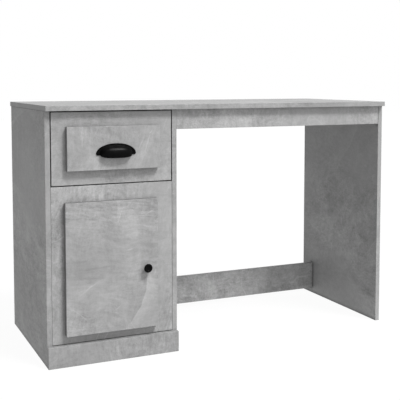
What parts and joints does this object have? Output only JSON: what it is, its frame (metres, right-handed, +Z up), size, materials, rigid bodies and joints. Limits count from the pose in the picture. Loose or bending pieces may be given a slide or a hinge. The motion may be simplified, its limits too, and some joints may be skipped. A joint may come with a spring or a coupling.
{
  "type": "writing desk with drawer pedestal",
  "caption": "Writing desk in concrete-look board, with a drawer over a hinged cupboard in a pedestal under its left end, a cup pull and a round knob.",
  "frame": {"origin": "on the floor, under the middle of the whole desk's bounding box", "axes": "+X along the desk from the pedestal end to the open end, -Y out of the fronts towards the person who sits at it, +Z up"},
  "size_m": [1.15, 0.5216, 0.75],
  "materials": {
    "concrete_board": "matt melamine on chipboard, printed as mottled grey concrete",
    "drawer_box_board": "plain light grey foil on chipboard",
    "hardboard": "thin hardboard, painted light grey on one face",
    "black_metal": "satin black lacquer on cast zinc",
    "runner_steel": "white powder coat on rolled steel",
    "roller_plastic": "moulded white plastic",
    "hinge_steel": "nickel-plated pressed steel",
    "zinc_alloy": "bare die-cast zinc",
    "screw_steel": "zinc-plated steel"
  },
  "bodies": {
    "carcass": {"tabletop": "concrete_board", "left_side_panel": "concrete_board", "pedestal_inner_panel": "concrete_board", "right_side_panel": "concrete_board", "plinth_board": "concrete_board", "pedestal_bottom_panel": "concrete_board", "drawer_divider_panel": "concrete_board", "front_apron": "concrete_board", "rear_stretcher": "concrete_board", "pedestal_back_panel": "hardboard", "drawer_divider_panel_cam_back_left": "zinc_alloy", "drawer_divider_panel_cam_back_right": "zinc_alloy", "drawer_divider_panel_cam_front_left": "zinc_alloy", "drawer_divider_panel_cam_front_right": "zinc_alloy", "front_apron_cam_left": "zinc_alloy", "front_apron_cam_right": "zinc_alloy", "left_side_panel_cam_back": "zinc_alloy", "left_side_panel_cam_front": "zinc_alloy", "pedestal_bottom_panel_cam_back_left": "zinc_alloy", "pedestal_bottom_panel_cam_back_right": "zinc_alloy", "pedestal_bottom_panel_cam_front_left": "zinc_alloy", "pedestal_bottom_panel_cam_front_right": "zinc_alloy", "pedestal_inner_panel_cam_back": "zinc_alloy", "pedestal_inner_panel_cam_front": "zinc_alloy", "rear_stretcher_cam_left": "zinc_alloy", "rear_stretcher_cam_right": "zinc_alloy", "right_side_panel_cam_back": "zinc_alloy", "right_side_panel_cam_front": "zinc_alloy", "cabinet_runner_left": "runner_steel", "cabinet_runner_right": "runner_steel", "hinge_plate_lower": "hinge_steel", "hinge_plate_upper": "hinge_steel", "hinge_arm_lower": "hinge_steel", "hinge_arm_upper": "hinge_steel"},
    "drawer": {"drawer_front_panel": "concrete_board", "drawer_raised_panel": "concrete_board", "drawer_side_left": "drawer_box_board", "drawer_side_right": "drawer_box_board", "drawer_back": "drawer_box_board", "drawer_bottom": "hardboard", "drawer_runner_left": "runner_steel", "drawer_runner_right": "runner_steel", "cup_pull": "black_metal", "cup_pull_screw_left": "screw_steel", "cup_pull_screw_right": "screw_steel"},
    "door": {"door_panel": "concrete_board", "door_raised_panel": "concrete_board", "door_knob": "black_metal", "door_knob_screw": "screw_steel", "hinge_cup_lower": "hinge_steel", "hinge_cup_upper": "hinge_steel"},
    "cabinet_roller_left": {"cabinet_roller_left": "roller_plastic"},
    "cabinet_roller_right": {"cabinet_roller_right": "roller_plastic"},
    "drawer_roller_left": {"drawer_roller_left": "roller_plastic"},
    "drawer_roller_right": {"drawer_roller_right": "roller_plastic"}
  },
  "joints": [
    {"name": "drawer_slide", "type": "slide", "parent": "carcass", "child": "drawer", "axis": [0, -1, 0], "range_m": [0, 0.3]},
    {"name": "door_hinge", "type": "hinge", "parent": "carcass", "child": "door", "pos_m": [-0.5596, -0.2242, 0.29175], "axis": [0, 0, -1], "range_deg": [0, 100]},
    {"name": "cabinet_roller_left_spin", "type": "hinge", "parent": "carcass", "child": "cabinet_roller_left", "pos_m": [-0.55475, -0.1882, 0.5501], "axis": [1, 0, 0], "range_deg": [0, 2030]},
    {"name": "cabinet_roller_right_spin", "type": "hinge", "parent": "carcass", "child": "cabinet_roller_right", "pos_m": [-0.19525, -0.1882, 0.5501], "axis": [1, 0, 0], "range_deg": [0, 2030]},
    {"name": "drawer_roller_left_spin", "type": "hinge", "parent": "drawer", "child": "drawer_roller_left", "pos_m": [-0.55275, 0.1798, 0.5498], "axis": [1, 0, 0], "range_deg": [0, 2030]},
    {"name": "drawer_roller_right_spin", "type": "hinge", "parent": "drawer", "child": "drawer_roller_right", "pos_m": [-0.19725, 0.1798, 0.5498], "axis": [1, 0, 0], "range_deg": [0, 2030]}
  ],
  "couplings": [
    {"joint": "cabinet_roller_left_spin", "follows": "drawer_slide", "rad_per_m": 117.65},
    {"joint": "cabinet_roller_right_spin", "follows": "drawer_slide", "rad_per_m": 117.65},
    {"joint": "drawer_roller_left_spin", "follows": "drawer_slide", "rad_per_m": 117.65},
    {"joint": "drawer_roller_right_spin", "follows": "drawer_slide", "rad_per_m": 117.65}
  ]
}
